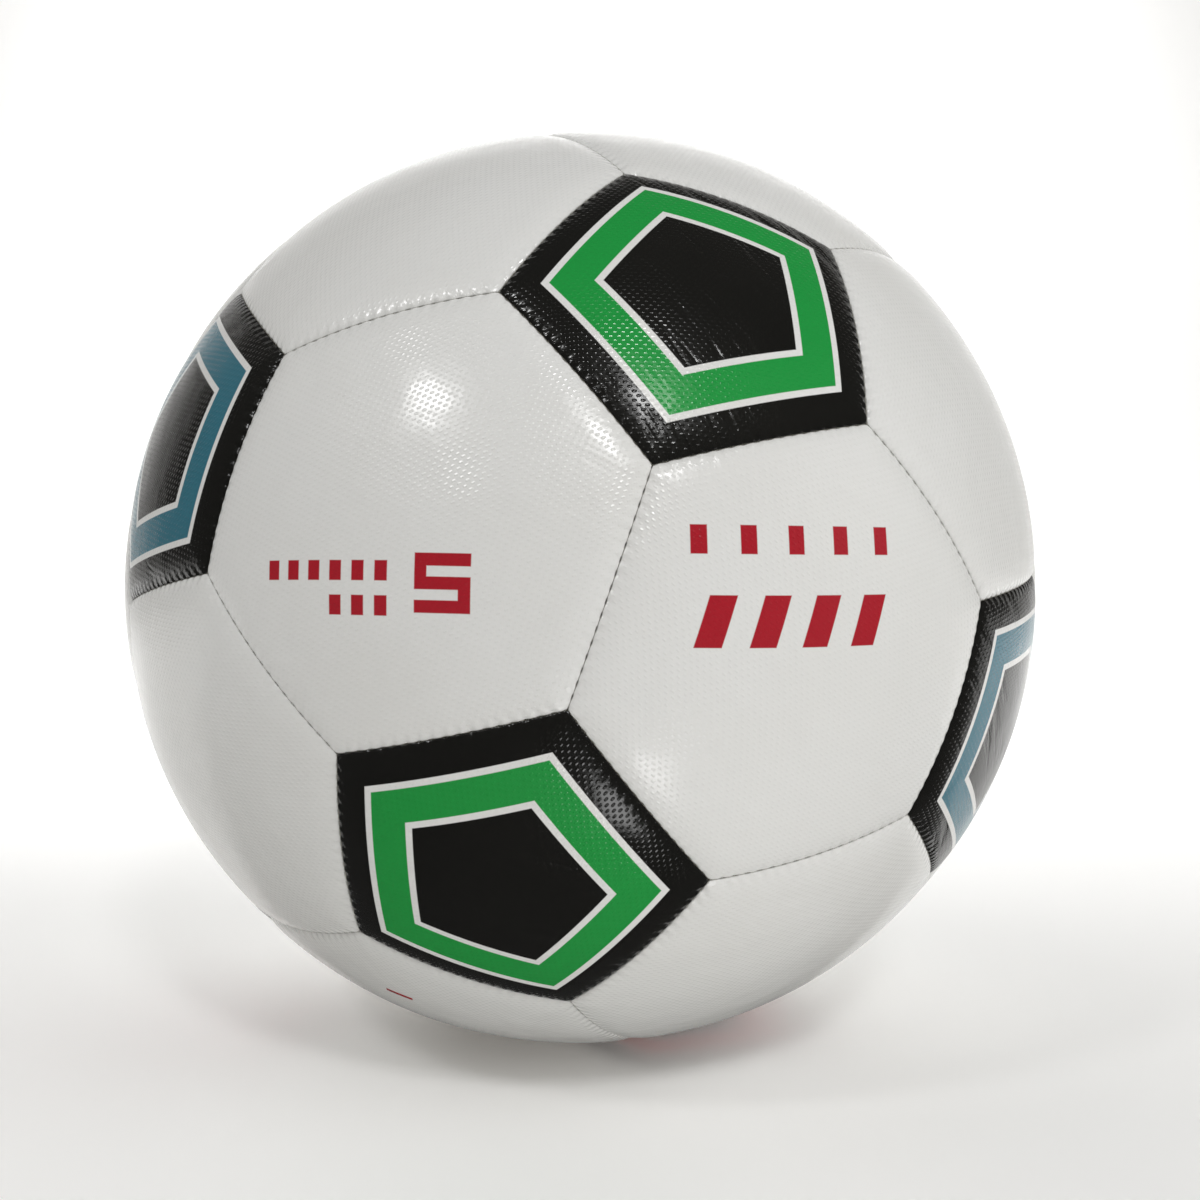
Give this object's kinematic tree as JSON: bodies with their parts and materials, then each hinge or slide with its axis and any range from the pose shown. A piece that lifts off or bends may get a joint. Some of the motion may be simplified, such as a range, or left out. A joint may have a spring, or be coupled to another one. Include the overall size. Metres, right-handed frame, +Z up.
{
  "type": "soccer ball",
  "caption": "Round inflated sports ball stitched from pentagon and hexagon panels, with a bladder, a needle valve and a coloured print on white.",
  "frame": {"origin": "centre of the ball", "axes": "+Z up and -Y towards the side seen in the picture; -Z is the way to the ground contact point"},
  "size_m": [0.2186, 0.2188, 0.219],
  "materials": {
    "cover": "glossy, finely embossed",
    "thread": "waxed",
    "bladder": "matte",
    "valve": "matte",
    "valve_core": "matte"
  },
  "bodies": {
    "root": {"pentagon_panel_01": "cover", "pentagon_panel_02": "cover", "pentagon_panel_03": "cover", "pentagon_panel_04": "cover", "pentagon_panel_05": "cover", "pentagon_panel_06": "cover", "pentagon_panel_07": "cover", "pentagon_panel_08": "cover", "pentagon_panel_09": "cover", "pentagon_panel_10": "cover", "pentagon_panel_11": "cover", "pentagon_panel_12": "cover", "hexagon_panel_01": "cover", "hexagon_panel_02": "cover", "hexagon_panel_03": "cover", "hexagon_panel_04": "cover", "hexagon_panel_05": "cover", "hexagon_panel_06": "cover", "hexagon_panel_07": "cover", "hexagon_panel_08": "cover", "hexagon_panel_09": "cover", "hexagon_panel_10": "cover", "hexagon_panel_11": "cover", "hexagon_panel_12": "cover", "hexagon_panel_13": "cover", "hexagon_panel_14": "cover", "hexagon_panel_15": "cover", "hexagon_panel_16": "cover", "hexagon_panel_17": "cover", "hexagon_panel_18": "cover", "hexagon_panel_19": "cover", "hexagon_panel_20": "cover", "seam_thread": "thread", "bladder": "bladder", "valve_patch": "bladder", "balance_patch": "bladder", "valve_housing": "valve", "valve_core": "valve_core"}
  },
  "joints": []
}
